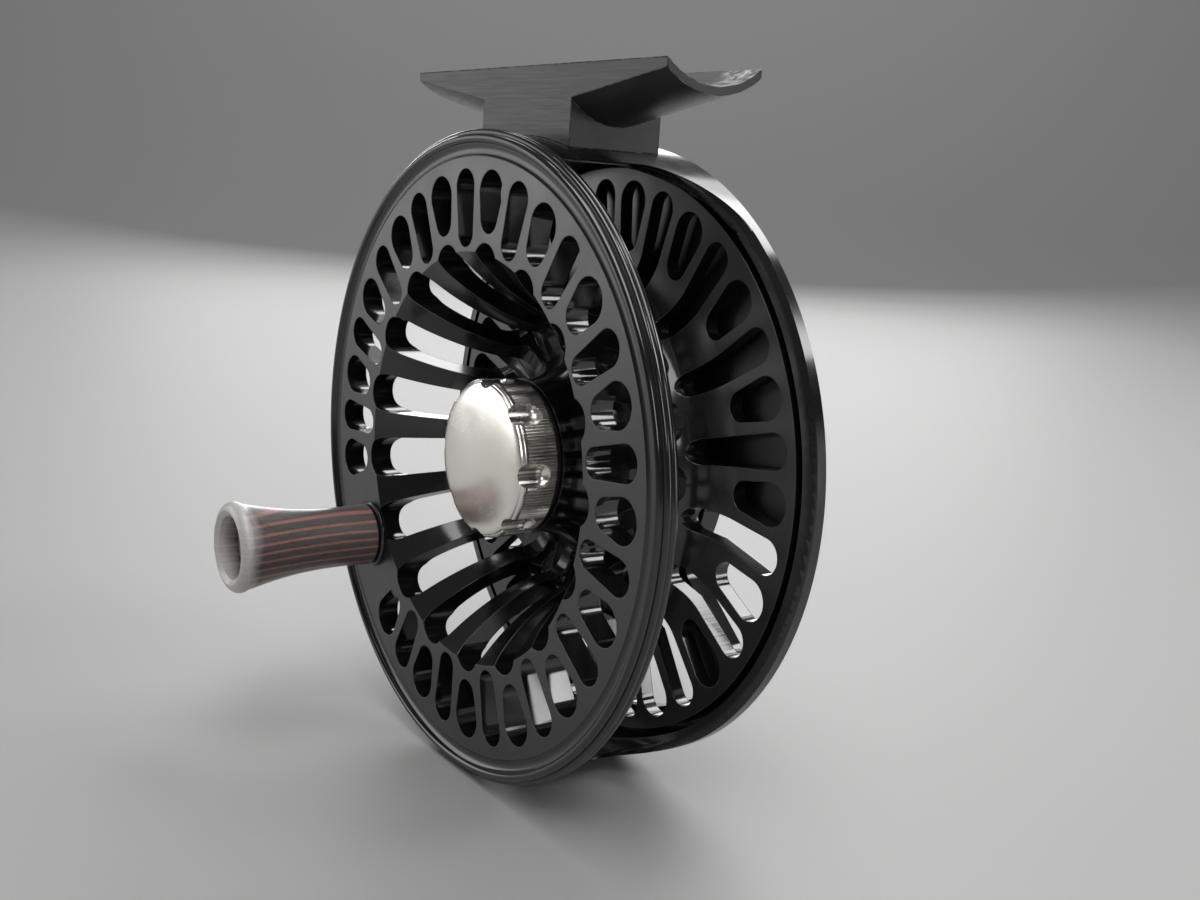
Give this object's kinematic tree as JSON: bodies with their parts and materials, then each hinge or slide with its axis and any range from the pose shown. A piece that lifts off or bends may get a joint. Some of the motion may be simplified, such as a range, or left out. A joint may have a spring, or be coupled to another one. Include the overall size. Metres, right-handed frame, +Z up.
{
  "type": "fly reel",
  "caption": "Single-action fly reel with a ported large-arbor spool, half-cage frame, reel foot, turning wooden handle, knurled spool knob and rear drag knob.",
  "frame": {"origin": "middle of the reel foot's seat, on the line between its two upper edges", "axes": "+Z up out of the foot towards the rod, Y along the spool axis with the handle side at -Y and the drag knob at +Y, X along the rod"},
  "size_m": [0.092, 0.0669, 0.1009],
  "materials": {
    "black_anodised": "satin black anodised, polished edges",
    "foot_anodised": "satin charcoal, finely brushed, bare at the tips",
    "silver_metal": "warm silver, finely knurled",
    "stainless": "turned stainless steel",
    "spring_steel": "drawn spring steel",
    "bearing_steel": "ground bearing steel",
    "polymer": "black acetal",
    "seal_rubber": "black nitrile rubber",
    "carbon": "woven carbon friction disc",
    "bronze": "sintered bronze",
    "laminated_wood": "laminated wood, charcoal and copper-red stripes, oiled"
  },
  "bodies": {
    "frame": {"frame": "black_anodised", "reel_foot": "foot_anodised", "foot_screws": "stainless", "spindle": "stainless", "spindle_nut": "stainless", "drag_housing": "black_anodised", "housing_screws": "stainless", "steel_discs": "stainless", "pressure_plate": "stainless", "cone_springs": "spring_steel", "drag_cover": "polymer", "drag_seal": "seal_rubber", "push_pins": "stainless", "pawl_pin": "stainless", "pawl_spring": "spring_steel"},
    "spool": {"spool": "black_anodised", "front_bearing": "bearing_steel", "rear_bearing": "bearing_steel", "one_way_clutch": "bearing_steel", "bearing_snap_ring": "spring_steel", "click_gear": "polymer", "handle_post": "stainless", "handle_washer": "silver_metal", "handle_screw": "stainless"},
    "drag_rotor": {"drag_rotor": "stainless", "carbon_discs": "carbon"},
    "handle": {"handle_grip": "laminated_wood", "handle_bush": "bronze"},
    "drag_knob": {"drag_knob": "silver_metal", "drag_knob_cap": "silver_metal", "detent_ball": "bearing_steel", "detent_spring": "spring_steel"},
    "knob_ring": {"knob_ring": "seal_rubber"},
    "spool_knob": {"spool_knob": "silver_metal"},
    "click_pawl": {"click_pawl": "polymer"}
  },
  "joints": [
    {"name": "spool_spin", "type": "hinge", "parent": "frame", "child": "spool", "pos_m": [0, -0.00237, -0.0549], "axis": [0, 1, 0], "continuous": true},
    {"name": "drag_rotor_spin", "type": "hinge", "parent": "frame", "child": "drag_rotor", "pos_m": [0, 0.00762, -0.0549], "axis": [0, 1, 0], "continuous": true},
    {"name": "handle_spin", "type": "hinge", "parent": "spool", "child": "handle", "pos_m": [-0.02908, -0.02637, -0.07291], "axis": [0, 1, 0], "continuous": true},
    {"name": "drag_knob_turn", "type": "hinge", "parent": "frame", "child": "drag_knob", "pos_m": [0, 0.02363, -0.0549], "axis": [0, 1, 0], "range_deg": [0, 330]},
    {"name": "spool_knob_lift", "type": "slide", "parent": "frame", "child": "knob_ring", "axis": [0, -1, 0], "range_m": [0, 0.0033]},
    {"name": "spool_knob_turn", "type": "hinge", "parent": "knob_ring", "child": "spool_knob", "pos_m": [0, -0.00838, -0.0549], "axis": [0, -1, 0], "range_deg": [0, 1440]},
    {"name": "click_pawl_swing", "type": "hinge", "parent": "frame", "child": "click_pawl", "pos_m": [-0.01785, 0.01033, -0.0614], "axis": [0, 1, 0], "range_deg": [-8, 8], "stiffness_Nm_per_rad": 0.002}
  ],
  "couplings": [
    {"joint": "drag_rotor_spin", "follows": "spool_spin", "ratio": 1},
    {"joint": "spool_knob_lift", "follows": "spool_knob_turn", "m_per_rad": 0.00012732}
  ]
}
